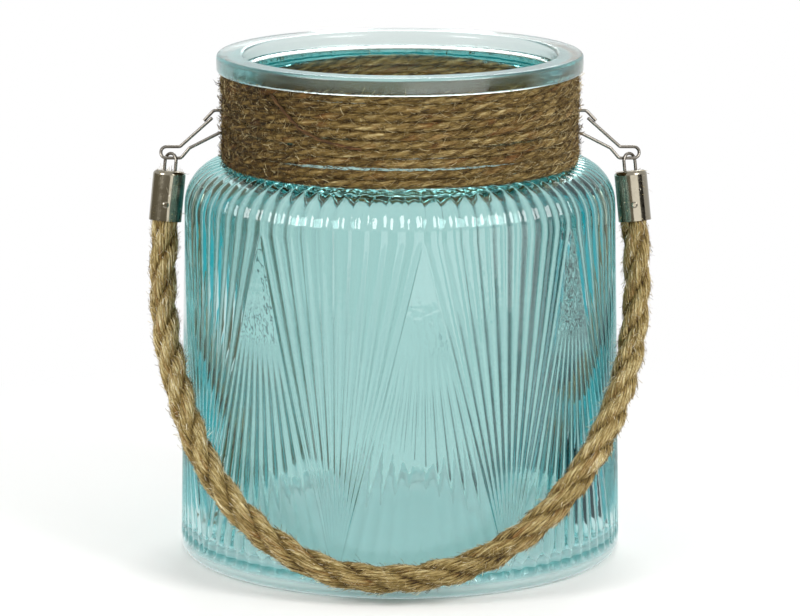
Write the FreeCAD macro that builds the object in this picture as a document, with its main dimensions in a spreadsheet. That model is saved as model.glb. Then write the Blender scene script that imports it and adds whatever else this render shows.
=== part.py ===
import FreeCAD, Part

import math
import os

import Sketcher

os.makedirs("parts", exist_ok=True)
doc = FreeCAD.newDocument("JarLantern")
Vector = FreeCAD.Vector

# Driving dimensions, in millimetres and degrees
SIZES = [
    ("mouth_radius", 52.4, "bore of the neck and rim"),
    ("neck_wall", 3.85, "glass thickness of the neck"),
    ("neck_height", 30.5, "neck between the shoulder and the rim"),
    ("rim_overhang", 5.25, "how far the rim stands out from the neck"),
    ("rim_height", 6.0, "height of the out-turned rim"),
    ("rim_edge", 2.0, "rounding of the rim's edges"),
    ("throat_radius", 4.0, "rounding under the neck, inside"),
    ("shoulder_flat", 1.85, "level ring between the neck and the shoulder's curve"),
    ("shoulder_radius", 14.5, "rounding of the shoulder, outside"),
    ("shoulder_height", 133.5, "top of the shoulder above the table"),
    ("wall_draft", 2.1, "how much wider the wall is at the bottom"),
    ("glass_wall", 3.6, "thickness of the side wall and shoulder"),
    ("base_thickness", 6.0, "glass floor above the table"),
    ("floor_corner", 6.0, "rounding inside, between floor and wall"),
    ("heel_radius", 4.0, "rounding outside, under the wall"),
    ("foot_width", 5.0, "width of the ring that the jar stands on"),
    ("punt_depth", 1.5, "hollow under the base"),
    ("rib_foot", 5.6, "lower ends of the pressed ribs above the table"),
    ("rib_depth", 0.9, "depth of the grooves between the ribs"),
    ("rib_fade", 0.1, "depth at which a groove runs out"),
    ("rib_lip", 0.9, "how far a groove's cutter stands out of the glass"),
    ("wire_diameter", 1.1, "bright steel wire of the two neck wires"),
    ("wire_seat", 0.05, "gap left between wire, glass and twine"),
    ("wire_end_angle", 2.0, "where a neck wire leaves the neck, off the side"),
    ("hook_height", 16.7, "back wire above the shoulder"),
    ("gate_height", 9.0, "front wire above the shoulder"),
    ("leg_reach", 4.0, "how far a leg runs level from its hoop"),
    ("hook_reach", 5.7, "crown of the hook from the hoop"),
    ("hook_run", 3.3, "hook's tip beyond its crown"),
    ("hook_drop", 3.5, "hook's tip below its crown"),
    ("hook_bend", 1.6, "bend radius of the hook"),
    ("knee_back", 6.3, "lower leg's knee inside the pivot"),
    ("knee_rise", 3.4, "lower leg's knee above the pivot"),
    ("nose_start", 3.4, "nose's straight run inside the pivot"),
    ("nose_end", 3.4, "nose's straight run outside the pivot"),
    ("nose_bend", 1.9, "bend radius at the end of the nose"),
    ("return_back", 2.2, "returning wire behind the pivot"),
    ("return_rise", 3.5, "returning wire above the pivot"),
    ("return_start", 3.0, "where the spring leg leaves the nose, inside the pivot"),
    ("leg_bend", 1.2, "bend radius of the legs"),
    ("tip_reach", 6.3, "spring leg's tip from the hoop"),
    ("tip_drop", 2.6, "spring leg's tip below the back wire"),
    ("twine_diameter", 2.15, "tube of one turn of neck twine"),
    ("twine_gap", 0.45, "least gap between turns"),
    ("twine_room", 0.3, "gap between the twine and what it passes"),
    ("pivot_rise", 0.5, "handle's pivot above the shoulder"),
    ("ferrule_diameter", 11.0, "outside of a rope ferrule"),
    ("ferrule_length", 17.0, "height of a rope ferrule"),
    ("ferrule_edge", 1.5, "rounding of the ferrule's cap"),
    ("ferrule_cap", 0.8, "thickness of the ferrule's cap"),
    ("ferrule_gap", 0.45, "gap between the ferrule and the wall beside it"),
    ("ferrule_splay", 5.5, "ferrule's mouth swung outwards, degrees"),
    ("ferrule_lean", 8.0, "ferrule's mouth swung forwards, degrees"),
    ("eye_wire", 1.1, "wire of a ferrule's eye"),
    ("eye_half", 2.6, "half the spacing of the eye's legs"),
    ("eye_room", 0.45, "gap between the eye's arch and the nose"),
    ("eye_drop", 4.2, "ferrule's cap below the pivot"),
    ("eye_yaw", 42.0, "eye turned about the ferrule's axis, degrees"),
    ("rope_diameter", 9.8, "jute rope"),
    ("rope_room", 0.1, "gap between the rope and the ferrule's bore"),
    ("rivet_head", 2.2, "diameter of the ferrule pin's head"),
    ("rivet_dome", 0.6, "height of the ferrule pin's head"),
    ("rivet_shank", 1.2, "diameter of the ferrule pin"),
    ("rivet_depth", 3.0, "pin's length inside the ferrule's surface"),
    ("rivet_fit", 0.05, "gap round the pin"),
    ("rivet_height", 5.5, "pin above the ferrule's mouth"),
]

# Route of the rope's centreline, right ferrule to left, chosen on the photographed curve
ROPE_ROUTE = [
    (77.58, -0.7, 129.02),
    (79.88, -4.02, 105.41),
    (79.5, -14.5, 80.0),
    (73.3, -35.5, 60.0),
    (64.5, -50.0, 44.0),
    (52.5, -62.5, 30.0),
    (37.0, -72.7, 18.6),
    (18.0, -79.4, 11.0),
    (-3.0, -81.4, 8.6),
    (-23.5, -78.0, 10.4),
    (-40.0, -71.0, 17.4),
    (-54.0, -61.0, 27.4),
    (-65.5, -48.5, 41.5),
    (-73.3, -35.5, 60.0),
    (-79.5, -14.5, 80.0),
    (-79.88, -4.02, 105.41),
    (-77.58, -0.7, 129.02),
]
ARC_SHARE = 0.45

# Pressed ribs: fans that spread upwards from the foot, between fans that spread downwards
FAN_COUNT = 8
FAN_RIBS = 10
FAN_TURN = 6.0
FAN_ANGLE = 360 / FAN_COUNT
FAN_REACH = 0.58
GROOVE_SHARE = 0.72
SHOULDER_SWEEP = 84.0

sheet = doc.addObject("Spreadsheet::Sheet", "Sizes")
for row, (alias, value, meaning) in enumerate(SIZES, start=1):
    sheet.set(f"A{row}", meaning)
    sheet.set(f"B{row}", str(value))
    sheet.setAlias(f"B{row}", alias)
doc.recompute()


def size(expression):
    """Value of an expression in the sheet's names."""
    return float(sheet.evalExpression(expression))


def bound(expression):
    """The same expression, written so that another object can read the sheet."""
    words = []
    for word in expression.split():
        known = any(word == alias for alias, value, meaning in SIZES)
        words.append(f"Sizes.{word}" if known else word)
    return " ".join(words)


# Shared sizes, each worked out from the sheet
NECK_RADIUS = "mouth_radius + neck_wall"
RIM_RADIUS = "mouth_radius + neck_wall + rim_overhang"
SHOULDER_CENTRE = "mouth_radius + neck_wall + shoulder_flat"
WALL_TOP = "mouth_radius + neck_wall + shoulder_flat + shoulder_radius"
WALL_BOTTOM = "mouth_radius + neck_wall + shoulder_flat + shoulder_radius + wall_draft"
RIM_UNDER = "shoulder_height + neck_height"
JAR_TOP = "shoulder_height + neck_height + rim_height"
FERRULE_RADIUS = "ferrule_diameter / 2"
FERRULE_BORE = "rope_diameter / 2 + rope_room"

wire_radius = size("wire_diameter") / 2
hoop_radius = size(NECK_RADIUS) + size("wire_seat") + wire_radius
back_height = size("shoulder_height + hook_height")
front_height = size("shoulder_height + gate_height")
splay = math.radians(size("ferrule_splay"))
mouth_drop = size("eye_drop + ferrule_length")
pivot_z = size("shoulder_height + pivot_rise")
pivot_x = size(f"{WALL_TOP} + ferrule_gap + {FERRULE_RADIUS}")
pivot_x -= size("pivot_rise + shoulder_radius") * math.tan(splay)


# Sketches
def attach(body, sketch, role):
    plane = next(item for item in body.Origin.OriginFeatures if item.Role == role)
    sketch.AttachmentSupport = [(plane, "")]
    sketch.MapMode = "FlatFace"


def arc_through(start, end, radius, turn):
    """Arc of under a half circle from start to end that turns left (+1) or right (-1)."""
    chord = end - start
    middle = (start + end) * 0.5
    rise = math.sqrt(max(radius ** 2 - chord.Length ** 2 / 4, 0.0))
    centre = middle + Vector(-chord.y, chord.x, 0).normalize() * rise * turn
    first, last = (start, end) if turn > 0 else (end, start)
    begin = math.atan2(first.y - centre.y, first.x - centre.x)
    finish = math.atan2(last.y - centre.y, last.x - centre.x)
    circle = Part.Circle(centre, Vector(0, 0, 1), radius)
    return Part.ArcOfCircle(circle, begin, finish)


def draw_outline(sketch, corners):
    """Closed outline of lines and arcs. A corner is (x, y) or (x, y, radius, turn) to arc to the next."""
    places = [Vector(size(corner[0]), size(corner[1]), 0) for corner in corners]
    ends = []
    for index, corner in enumerate(corners):
        start = places[index]
        end = places[(index + 1) % len(corners)]
        if len(corner) == 2:
            sketch.addGeometry(Part.LineSegment(start, end))
            ends.append((1, 2))
        else:
            sketch.addGeometry(arc_through(start, end, size(corner[2]), corner[3]))
            ends.append((1, 2) if corner[3] > 0 else (2, 1))
    for index, corner in enumerate(corners):
        after = (index + 1) % len(corners)
        joint = (index, ends[index][1], after, ends[after][0])
        sketch.addConstraint(Sketcher.Constraint("Coincident", *joint))
    for index, corner in enumerate(corners):
        point = (index, ends[index][0])
        for axis, kind, text, place in (
            (-2, "DistanceX", corner[0], places[index].x),
            (-1, "DistanceY", corner[1], places[index].y),
        ):
            if text == "0":
                sketch.addConstraint(Sketcher.Constraint("PointOnObject", *point, axis))
                continue
            number = sketch.addConstraint(Sketcher.Constraint(kind, -1, 1, *point, place))
            sketch.setExpression(f"Constraints[{number}]", bound(text))
        if len(corner) == 4:
            number = sketch.addConstraint(Sketcher.Constraint("Radius", index, size(corner[2])))
            sketch.setExpression(f"Constraints[{number}]", bound(corner[2]))


def turned_body(name, corners):
    """Body turned about Z from an outline in the XZ plane."""
    body = doc.addObject("PartDesign::Body", name)
    sketch = body.newObject("Sketcher::SketchObject", name + "_outline")
    attach(body, sketch, "XZ_Plane")
    draw_outline(sketch, corners)
    turn = body.newObject("PartDesign::Revolution", name + "_turn")
    turn.Profile = sketch
    turn.ReferenceAxis = (sketch, ["V_Axis"])
    turn.Angle = 360
    doc.recompute()
    return body


# Bent wire and wound twine
def rounded(points, radii):
    """Straight runs through the points, each corner rounded by a tangent arc of its radius."""
    edges = []
    last = points[0]
    for before, corner, after, radius in zip(points, points[1:], points[2:], radii):
        arrive = (corner - before).normalize()
        leave = (after - corner).normalize()
        half_turn = arrive.getAngle(leave) / 2
        reach = radius * math.tan(half_turn)
        start = corner - arrive * reach
        end = corner + leave * reach
        inward = (leave - arrive).normalize()
        middle = corner + inward * (radius / math.cos(half_turn) - radius)
        if (start - last).Length > 1e-6:
            edges.append(Part.LineSegment(last, start).toShape())
        edges.append(Part.Arc(start, middle, end).toShape())
        last = end
    edges.append(Part.LineSegment(last, points[-1]).toShape())
    return edges


def mirrored(points):
    return [Vector(-point.x, point.y, point.z) for point in points]


def tube(edges, diameter, name):
    """Round tube along joined edges. Its volume is compared with section times length."""
    path = Part.Wire(edges)
    first = path.OrderedEdges[0]
    start = path.OrderedVertexes[0].Point
    section = Part.Circle(start, first.tangentAt(first.FirstParameter), diameter / 2)
    shell = Part.BRepOffsetAPI.MakePipeShell(path)
    shell.add(Part.Wire(section.toShape()))
    shell.build()
    shell.makeSolid()
    solid = shell.shape()
    ideal = math.pi * diameter ** 2 / 4 * path.Length
    print(f"{name}: length {path.Length:.1f} mm, volume {solid.Volume / ideal:.4f} of section times length")
    return solid


def feature(name, shape):
    item = doc.addObject("Part::Feature", name)
    item.Shape = shape
    return item


def biarc(start, start_way, end, end_way):
    """Two arcs that leave start and reach end along the given unit directions."""
    span = end - start
    ways = start_way + end_way
    along = span.dot(ways)
    squeeze = 2 * (1 - start_way.dot(end_way))
    reach = (math.sqrt(along ** 2 + squeeze * span.dot(span)) - along) / squeeze
    first_corner = start + start_way * reach
    second_corner = end - end_way * reach
    middle = (first_corner + second_corner) * 0.5
    edges = []
    for before, corner, after in ((start, first_corner, middle), (middle, second_corner, end)):
        half_turn = (corner - before).getAngle(after - corner) / 2
        radius = reach / math.tan(half_turn)
        inward = ((after - corner).normalize() - (corner - before).normalize()).normalize()
        crest = corner + inward * (radius / math.cos(half_turn) - radius)
        edges.append(Part.Arc(before, crest, after).toShape())
    return edges


# Glass jar, turned as one piece
def glass_jar():
    inner_flat = "shoulder_height - glass_wall"
    corners = [
        ("0", "punt_depth"),
        (f"{WALL_BOTTOM} - heel_radius - foot_width - 2 * punt_depth", "punt_depth"),
        (f"{WALL_BOTTOM} - heel_radius - foot_width", "0"),
        (f"{WALL_BOTTOM} - heel_radius", "0", "heel_radius", 1),
        (WALL_BOTTOM, "heel_radius"),
        (WALL_TOP, "shoulder_height - shoulder_radius", "shoulder_radius", 1),
        (SHOULDER_CENTRE, "shoulder_height"),
        (NECK_RADIUS, "shoulder_height"),
        (NECK_RADIUS, RIM_UNDER),
        (f"{RIM_RADIUS} - rim_edge", RIM_UNDER, "rim_edge", 1),
        (RIM_RADIUS, f"{RIM_UNDER} + rim_edge"),
        (RIM_RADIUS, f"{JAR_TOP} - rim_edge", "rim_edge", 1),
        (f"{RIM_RADIUS} - rim_edge", JAR_TOP),
        ("mouth_radius + rim_edge", JAR_TOP, "rim_edge", 1),
        ("mouth_radius", f"{JAR_TOP} - rim_edge"),
        ("mouth_radius", f"{inner_flat} + throat_radius", "throat_radius", 1),
        ("mouth_radius + throat_radius", inner_flat),
        (SHOULDER_CENTRE, inner_flat, "shoulder_radius - glass_wall", -1),
        (f"{WALL_TOP} - glass_wall", "shoulder_height - shoulder_radius"),
        (f"{WALL_BOTTOM} - glass_wall", "base_thickness + floor_corner", "floor_corner", -1),
        (f"{WALL_BOTTOM} - glass_wall - floor_corner", "base_thickness"),
        ("0", "base_thickness"),
    ]
    blank = turned_body("glass_blank", corners)
    solid = blank.Shape
    for tools in rib_grooves():
        solid = solid.cut(tools)
    print(f"glass_jar: {len(solid.Faces)} faces, grooves take {blank.Shape.Volume - solid.Volume:.0f} mm3")
    return feature("glass_jar", solid)


# Grooves between the ribs, each a tapered cutter along one ray of a fan
def wall_place(angle, height, out, aside):
    """Point by the wall at an angle from the front, moved outwards and aside by lengths."""
    wall_foot = size("heel_radius")
    wall_head = size("shoulder_height - shoulder_radius")
    share = (height - wall_foot) / (wall_head - wall_foot)
    radius = size(WALL_BOTTOM) + share * (size(WALL_TOP) - size(WALL_BOTTOM)) + out
    turn = math.radians(angle)
    outward = Vector(math.sin(turn), -math.cos(turn), 0)
    along = Vector(math.cos(turn), math.sin(turn), 0)
    return outward * radius + along * aside + Vector(0, 0, height)


def groove_section(angle, height, depth, width):
    """Triangle across a groove: its point in the glass and its open side beyond the wall."""
    lip = size("rib_lip")
    half = width / 2 * (1 + lip / depth)
    corners = [wall_place(angle, height, -depth, 0), wall_place(angle, height, lip, half),
               wall_place(angle, height, lip, -half)]
    return Part.makePolygon(corners + corners[:1])


def groove(start_angle, start_height, end_angle, end_height):
    """Cutter along one ray, from its full section to where it runs out."""
    depth = size("rib_depth")
    fade = size("rib_fade")
    width = GROOVE_SHARE * math.radians(FAN_ANGLE / FAN_RIBS) * size(WALL_TOP)
    start = groove_section(start_angle, start_height, depth, width)
    end = groove_section(end_angle, end_height, fade, width * fade / depth)
    return Part.makeLoft([start, end], True, True), start


def shoulder_groove(angle, section):
    """The same section, swept up over the shoulder's curve."""
    turn = math.radians(angle)
    outward = Vector(math.sin(turn), -math.cos(turn), 0)
    centre = outward * size(SHOULDER_CENTRE) + Vector(0, 0, size("shoulder_height - shoulder_radius"))
    axis = outward.cross(Vector(0, 0, 1))
    return Part.Face(section).revolve(centre, axis, SHOULDER_SWEEP)


def rib_grooves():
    """Lists of cutters that don't meet each other within a list."""
    head = size("shoulder_height - shoulder_radius")
    foot = size("rib_foot")
    upper, lower, edges = [], [], []
    for fan in range(FAN_COUNT):
        low_point = FAN_TURN + (fan + 0.5) * FAN_ANGLE
        high_point = FAN_TURN + (fan + 1) * FAN_ANGLE
        for rib in range(FAN_RIBS + 1):
            across = rib * FAN_ANGLE / FAN_RIBS
            start = FAN_TURN + fan * FAN_ANGLE + across
            end = start + (low_point - start) * FAN_REACH
            down, section = groove(start, head, end, head + (foot - head) * FAN_REACH)
            if rib < FAN_RIBS:
                down = down.fuse(shoulder_groove(start, section))
            (upper if rib < FAN_RIBS else edges).append(down)
            start = low_point + across
            end = start + (high_point - start) * FAN_REACH
            up, section = groove(start, foot, end, foot + (head - foot) * FAN_REACH)
            (lower if rib < FAN_RIBS else edges).append(up)
    return upper, lower, edges


# Two neck wires: each is half a hoop round the neck, with both ends bent out at the sides
def wire_hoop(height, side):
    """Half hoop behind (side +1) or in front (side -1), from left to right."""
    turn = math.radians(size("wire_end_angle"))
    start = Vector(-hoop_radius * math.cos(turn), side * hoop_radius * math.sin(turn), height)
    end = Vector(-start.x, start.y, height)
    crest = Vector(0, side * hoop_radius, height)
    return Part.Arc(start, crest, end).toShape(), end


def hoop_corner(height):
    """Corner where the hoop's end turns outwards, and its bend radius for a square turn."""
    turn = math.radians(size("wire_end_angle"))
    corner = Vector(hoop_radius / math.cos(turn), 0, height)
    reach = hoop_radius * math.tan(turn)
    return corner, reach


def wire_with_ends(name, height, side, outer_points, outer_radii):
    hoop, end = wire_hoop(height, side)
    corner, reach = hoop_corner(height)
    points = [end, corner] + outer_points
    arrive = (corner - end).normalize()
    leave = (outer_points[0] - corner).normalize()
    radii = [reach / math.tan(arrive.getAngle(leave) / 2)] + outer_radii
    left = rounded(mirrored(points), radii)
    right = rounded(points, radii)
    return feature(name, tube(Part.sortEdges(left + [hoop] + right)[0], size("wire_diameter"), name))


def back_wire():
    """Upper wire: a small open hook at each end."""
    crown = Vector(hoop_radius + size("hook_reach"), 0, back_height)
    tip = crown + Vector(size("hook_run"), 0, -size("hook_drop"))
    return wire_with_ends("back_wire", back_height, 1, [crown, tip], [size("hook_bend")])


def front_wire():
    """Lower wire: each end is a leg, a nose that carries the handle and a spring leg under the hook."""
    bend = size("leg_bend")
    nose_bend = size("nose_bend")
    points = [
        Vector(hoop_radius + size("leg_reach"), 0, front_height),
        Vector(pivot_x - size("knee_back"), 0, pivot_z + size("knee_rise")),
        Vector(pivot_x - size("nose_start"), 0, pivot_z),
        Vector(pivot_x + size("nose_end"), 0, pivot_z),
        Vector(pivot_x + size("nose_end"), size("return_back"), pivot_z + size("return_rise")),
        Vector(pivot_x - size("return_start"), size("return_back"), pivot_z + size("return_rise")),
        Vector(hoop_radius + size("tip_reach"), 0, back_height - size("tip_drop")),
    ]
    radii = [bend, bend, bend, nose_bend, nose_bend, bend]
    return wire_with_ends("front_wire", front_height, -1, points, radii)


# Neck twine: one unbroken winding whose turns part at the sides for the wires
def spread(low, high, step):
    """Evenly spaced heights from high down to low, no closer than step."""
    gaps = max(int((high - low) / step + 1e-9), 0)
    if gaps == 0:
        return [high]
    return [high - (high - low) * index / gaps for index in range(gaps + 1)]


def neck_twine():
    diameter = size("twine_diameter")
    step = size("twine_diameter + twine_gap")
    radius = hoop_radius + wire_radius + size("wire_seat") + diameter / 2
    pass_by = diameter / 2 + wire_radius + size("twine_room")
    top = size(RIM_UNDER) - size("twine_room") - diameter / 2
    bottom = size("shoulder_height") + size("twine_room") + diameter / 2
    side_heights = spread(back_height + pass_by, top, step)
    side_heights += spread(front_height + pass_by, back_height - pass_by, step)
    side_heights += spread(bottom, front_height - pass_by, step)
    count = len(side_heights)
    front_heights = [top - (top - bottom) * index / (count - 1) for index in range(count)]

    nodes = []
    for index in range(count):
        nodes.append((-radius, 0, side_heights[index]))
        nodes.append((0, -radius, front_heights[index]))
        nodes.append((radius, 0, side_heights[index]))
        if index + 1 < count:
            nodes.append((0, radius, (side_heights[index] + side_heights[index + 1]) / 2))
    points = [Vector(*node) for node in nodes]
    ways = []
    quarter = math.pi * radius / 2
    for index, point in enumerate(points):
        before = points[max(index - 1, 0)]
        after = points[min(index + 1, len(points) - 1)]
        inner = 0 < index < len(points) - 1
        climb = (after.z - before.z) / (2 * quarter) if inner else 0.0
        ways.append(Vector(-point.y / radius, point.x / radius, climb).normalize())

    edges = [Part.LineSegment(points[0] - ways[0] * diameter, points[0]).toShape()]
    for index in range(len(points) - 1):
        edges += biarc(points[index], ways[index], points[index + 1], ways[index + 1])
    edges.append(Part.LineSegment(points[-1], points[-1] + ways[-1] * diameter).toShape())
    print(f"neck_twine: {count} turns at the sides, least gap {least_gap(edges, radius, diameter):.2f} mm")
    return feature("neck_twine", tube(edges, diameter, "neck_twine"))


def least_gap(edges, radius, diameter):
    """Smallest gap between turns, measured on points along the path."""
    samples = []
    travelled = 0.0
    for edge in edges:
        for place in edge.discretize(Number=13)[:-1]:
            samples.append((travelled, place))
            travelled += edge.Length / 12
    half_round = math.pi * radius
    gap = 2 * radius
    for index, (there, place) in enumerate(samples):
        for further, other in samples[index + 1:]:
            if further - there > half_round:
                gap = min(gap, (other - place).Length - diameter)
    return gap


# Handle: two ferrules with their eyes and pins, and the rope
def handle_end(side):
    """Placement of a ferrule: the eye's centre on the pivot, the ferrule hanging along its own -Z."""
    splayed = FreeCAD.Rotation(Vector(0, 1, 0), -side * size("ferrule_splay"))
    leaned = FreeCAD.Rotation(Vector(1, 0, 0), -size("ferrule_lean"))
    return FreeCAD.Placement(Vector(side * pivot_x, 0, pivot_z), leaned * splayed)


def ferrule(name, side):
    """Cup pressed over the rope's end, with a small hole for its pin in front."""
    body = turned_body(name, [
        ("0", "ferrule_length - ferrule_cap"),
        (FERRULE_BORE, "ferrule_length - ferrule_cap"),
        (FERRULE_BORE, "0"),
        (FERRULE_RADIUS, "0"),
        (FERRULE_RADIUS, "ferrule_length - ferrule_edge", "ferrule_edge", 1),
        (f"{FERRULE_RADIUS} - ferrule_edge", "ferrule_length"),
        ("0", "ferrule_length"),
    ])
    whole = body.Shape.Volume
    sketch = body.newObject("Sketcher::SketchObject", name + "_pin_hole")
    attach(body, sketch, "XZ_Plane")
    hole_radius = size("rivet_shank / 2 + rivet_fit")
    sketch.addGeometry(Part.Circle(Vector(0, size("rivet_height"), 0), Vector(0, 0, 1), hole_radius))
    sketch.addConstraint(Sketcher.Constraint("PointOnObject", 0, 3, -2))
    number = sketch.addConstraint(Sketcher.Constraint("DistanceY", -1, 1, 0, 3, size("rivet_height")))
    sketch.setExpression(f"Constraints[{number}]", bound("rivet_height"))
    number = sketch.addConstraint(Sketcher.Constraint("Radius", 0, hole_radius))
    sketch.setExpression(f"Constraints[{number}]", bound("rivet_shank / 2 + rivet_fit"))
    pocket = body.newObject("PartDesign::Pocket", name + "_pin_pocket")
    pocket.Profile = sketch
    pocket.Type = "Length"
    pocket.setExpression("Length", bound("ferrule_diameter"))
    pocket.Reversed = True
    doc.recompute()
    if body.Shape.Volume >= whole:
        raise RuntimeError(f"{name}: the pin's hole cut nothing")
    down = FreeCAD.Placement(Vector(0, 0, -mouth_drop), FreeCAD.Rotation())
    body.Placement = handle_end(side).multiply(down)
    return body


def pin_place():
    """The pin's axis runs into the ferrule from the front, above its mouth."""
    outside = Vector(0, -size(FERRULE_RADIUS), size("rivet_height") - mouth_drop)
    return FreeCAD.Placement(outside, FreeCAD.Rotation(Vector(1, 0, 0), 90))


def rivet(name, side):
    """Round-headed pin that holds the ferrule on the rope."""
    body = turned_body(name, [
        ("0", "0"),
        ("rivet_shank / 2", "0"),
        ("rivet_shank / 2", "rivet_depth"),
        ("rivet_head / 2", "rivet_depth"),
        ("rivet_head / 2", "rivet_depth + rivet_dome / 2"),
        ("rivet_shank / 2", "rivet_depth + rivet_dome"),
        ("0", "rivet_depth + rivet_dome"),
    ])
    inward = FreeCAD.Placement(Vector(0, 0, -size("rivet_depth")), FreeCAD.Rotation())
    body.Placement = handle_end(side).multiply(pin_place()).multiply(inward)
    return body


def eye(name, side):
    """Wire staple on the ferrule's cap, through which the nose of the front wire passes."""
    body = doc.addObject("PartDesign::Body", name)
    arch_drop = "eye_half - wire_diameter / 2 - eye_room - eye_wire / 2"
    half = size("eye_half")
    foot = -size("eye_drop")
    spring = -size(arch_drop)

    path = body.newObject("Sketcher::SketchObject", name + "_path")
    attach(body, path, "XZ_Plane")
    path.addGeometry(Part.LineSegment(Vector(-half, foot, 0), Vector(-half, spring, 0)))
    circle = Part.Circle(Vector(0, spring, 0), Vector(0, 0, 1), half)
    path.addGeometry(Part.ArcOfCircle(circle, 0, math.pi))
    path.addGeometry(Part.LineSegment(Vector(half, spring, 0), Vector(half, foot, 0)))
    for constraint in (
        ("Coincident", 0, 2, 1, 2),
        ("Coincident", 1, 1, 2, 1),
        ("Vertical", 0),
        ("Vertical", 2),
        ("PointOnObject", 1, 3, -2),
        ("Horizontal", 0, 2, 1, 3),
        ("Horizontal", 2, 1, 1, 3),
        ("Horizontal", 0, 1, 2, 2),
    ):
        path.addConstraint(Sketcher.Constraint(*constraint))
    for kind, place, value, text in (
        ("Radius", (1,), half, "eye_half"),
        ("DistanceY", (1, 3, -1, 1), -spring, arch_drop),
        ("DistanceY", (0, 1, -1, 1), -foot, "eye_drop"),
    ):
        number = path.addConstraint(Sketcher.Constraint(kind, *place, value))
        path.setExpression(f"Constraints[{number}]", bound(text))

    section = body.newObject("Sketcher::SketchObject", name + "_section")
    attach(body, section, "XY_Plane")
    section.setExpression("AttachmentOffset.Base.z", bound("0 mm - eye_drop * 1 mm"))
    section.addGeometry(Part.Circle(Vector(-half, 0, 0), Vector(0, 0, 1), size("eye_wire") / 2))
    section.addConstraint(Sketcher.Constraint("PointOnObject", 0, 3, -1))
    number = section.addConstraint(Sketcher.Constraint("DistanceX", 0, 3, -1, 1, half))
    section.setExpression(f"Constraints[{number}]", bound("eye_half"))
    number = section.addConstraint(Sketcher.Constraint("Radius", 0, size("eye_wire") / 2))
    section.setExpression(f"Constraints[{number}]", bound("eye_wire / 2"))
    doc.recompute()

    pipe = body.newObject("PartDesign::AdditivePipe", name + "_bend")
    pipe.Profile = section
    pipe.Spine = (path, ["Edge1", "Edge2", "Edge3"])
    doc.recompute()
    yaw = FreeCAD.Placement(Vector(), FreeCAD.Rotation(Vector(0, 0, 1), side * size("eye_yaw")))
    body.Placement = handle_end(side).multiply(yaw)
    return body


def rope_handle():
    """Rope from cap to cap, bored for the two pins."""
    points = [Vector(*place) for place in ROPE_ROUTE]
    radii = []
    for before, corner, after in zip(points, points[1:], points[2:]):
        shorter = min((corner - before).Length, (after - corner).Length)
        half_turn = (corner - before).getAngle(after - corner) / 2
        radii.append(ARC_SHARE * shorter / math.tan(half_turn))
    print("rope_handle: bend radii", ", ".join(f"{radius:.0f}" for radius in radii), "mm")
    solid = tube(rounded(points, radii), size("rope_diameter"), "rope_handle")
    for side in (1, -1):
        depth = size("rivet_depth + rivet_fit")
        bore = Part.makeCylinder(size("rivet_shank / 2 + rivet_fit"), 2 * depth, Vector(0, 0, -depth))
        bore.Placement = handle_end(side).multiply(pin_place())
        solid = solid.cut(bore)
    return feature("rope_handle", solid)


pieces = [glass_jar(), back_wire(), front_wire(), neck_twine()]
for label, side in (("left", -1), ("right", 1)):
    pieces.append(ferrule(label + "_ferrule", side))
    pieces.append(eye(label + "_eye", side))
    pieces.append(rivet(label + "_rivet", side))
pieces.append(rope_handle())
doc.recompute()

for item in doc.Objects:
    if "Invalid" in item.State or "Error" in item.State:
        raise RuntimeError(f"{item.Name} failed: {item.State}")
for piece in pieces:
    piece.Label = piece.Name
    if piece.Shape.isNull() or not piece.Shape.isValid():
        raise RuntimeError(f"{piece.Name} has no valid shape")
    if len(piece.Shape.Solids) != 1:
        raise RuntimeError(f"{piece.Name} has {len(piece.Shape.Solids)} solids")
for piece in pieces:
    piece.Shape.exportStep(f"parts/{piece.Label}.step")
    print(f"{piece.Label}: {piece.Shape.Volume / 1000:.2f} cm3")
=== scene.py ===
# %% [markdown]
# # A mason jar lantern with a rope handle
# The part is a pressed glass jar with a twine-wrapped neck. Two bent wires under the twine carry
# nickel ferrules, and a jute rope hangs between the ferrules as a handle. The CAD model gives every
# size and place, so this lesson starts from it and dresses it: glass with its pressed ribs, laid
# rope with its yarns and hairs, wound twine and bright metal.

# %% Load the frame
import math

import bpy
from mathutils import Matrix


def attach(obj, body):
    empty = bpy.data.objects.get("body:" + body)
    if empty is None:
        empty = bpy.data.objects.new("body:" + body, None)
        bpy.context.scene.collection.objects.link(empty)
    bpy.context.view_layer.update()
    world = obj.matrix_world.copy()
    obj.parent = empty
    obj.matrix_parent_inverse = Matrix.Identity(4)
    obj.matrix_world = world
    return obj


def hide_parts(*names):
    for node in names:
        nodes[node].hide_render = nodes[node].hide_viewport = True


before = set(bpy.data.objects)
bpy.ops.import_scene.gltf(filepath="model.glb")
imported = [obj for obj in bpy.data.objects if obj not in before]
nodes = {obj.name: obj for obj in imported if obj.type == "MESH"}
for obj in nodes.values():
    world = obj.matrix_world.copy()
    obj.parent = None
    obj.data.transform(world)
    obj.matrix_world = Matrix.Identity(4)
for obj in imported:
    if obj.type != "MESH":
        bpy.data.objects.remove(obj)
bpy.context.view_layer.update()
scene = bpy.context.scene
scene.view_settings.view_transform = "Standard"
MM = 0.001
print("CAD nodes:", sorted(nodes))

# %% [markdown]
# ## Helpers
# Colours are written as the hex values an artist would pick on a screen, and shaders want linear
# light, so one function turns one into the other. Materials and Geometry Nodes are both trees of
# nodes, so one more function adds a node, sets it up and plugs in what it needs. Two short ones start
# a material from an empty tree and put an object in the scene.

# %% Helpers for colours and nodes


def colour(code):
    channels = [int(code[place:place + 2], 16) / 255 for place in (1, 3, 5)]
    linear = [c / 12.92 if c <= 0.04045 else ((c + 0.055) / 1.055) ** 2.4 for c in channels]
    return (*linear, 1.0)


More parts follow.
